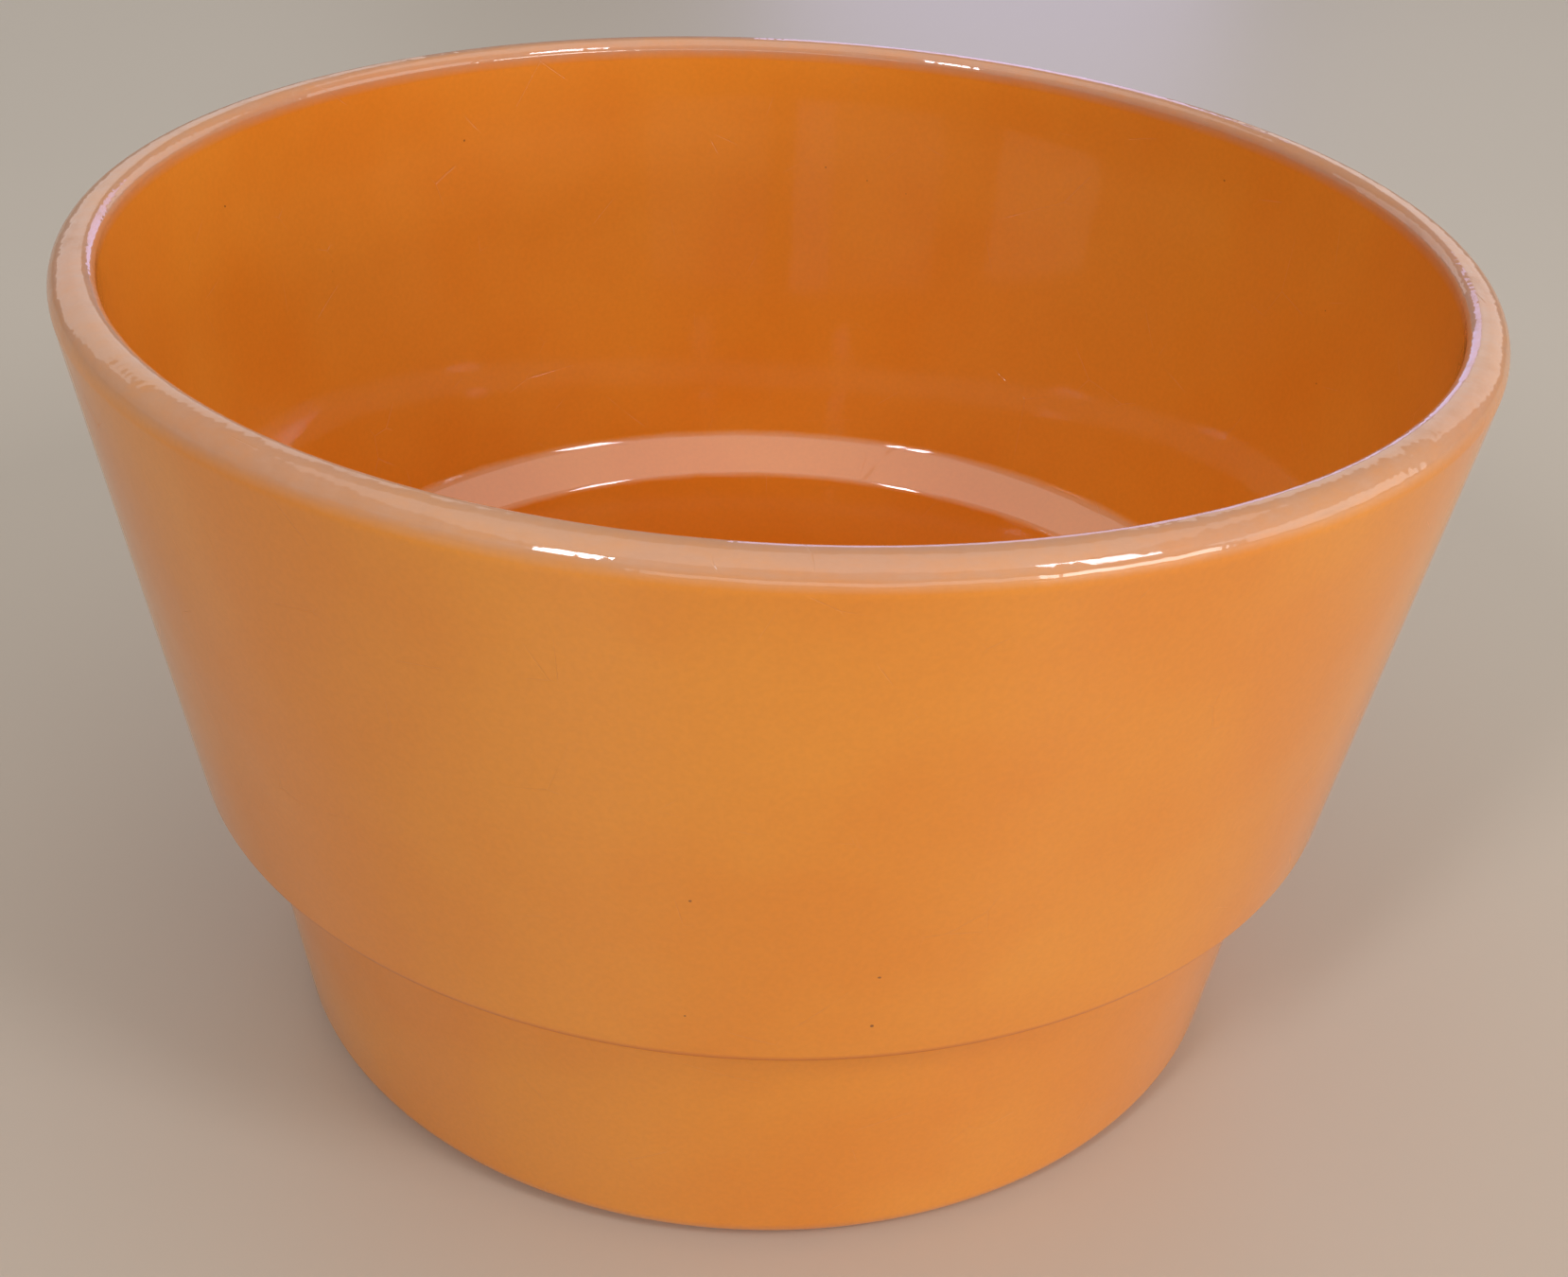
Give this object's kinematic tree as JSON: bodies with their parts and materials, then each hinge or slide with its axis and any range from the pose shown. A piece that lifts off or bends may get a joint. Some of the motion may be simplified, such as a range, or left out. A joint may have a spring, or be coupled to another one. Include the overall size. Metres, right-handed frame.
{
  "type": "bowl",
  "caption": "Deep round bowl with a tapered wall, a rounded rim and a shoulder that steps in to a narrower foot, moulded in one piece, for serving and mixing food.",
  "frame": {"origin": "centre of the standing face, on the bowl's axis, at the plane it stands on", "axes": "+Z along the bowl's axis, out of its mouth; X and Y are free, because the bowl is turned about Z"},
  "size_m": [0.19, 0.19, 0.116],
  "materials": {
    "moulded_melamine": "gloss, moulded in colour"
  },
  "bodies": {
    "root": {"bowl": "moulded_melamine"}
  },
  "joints": []
}
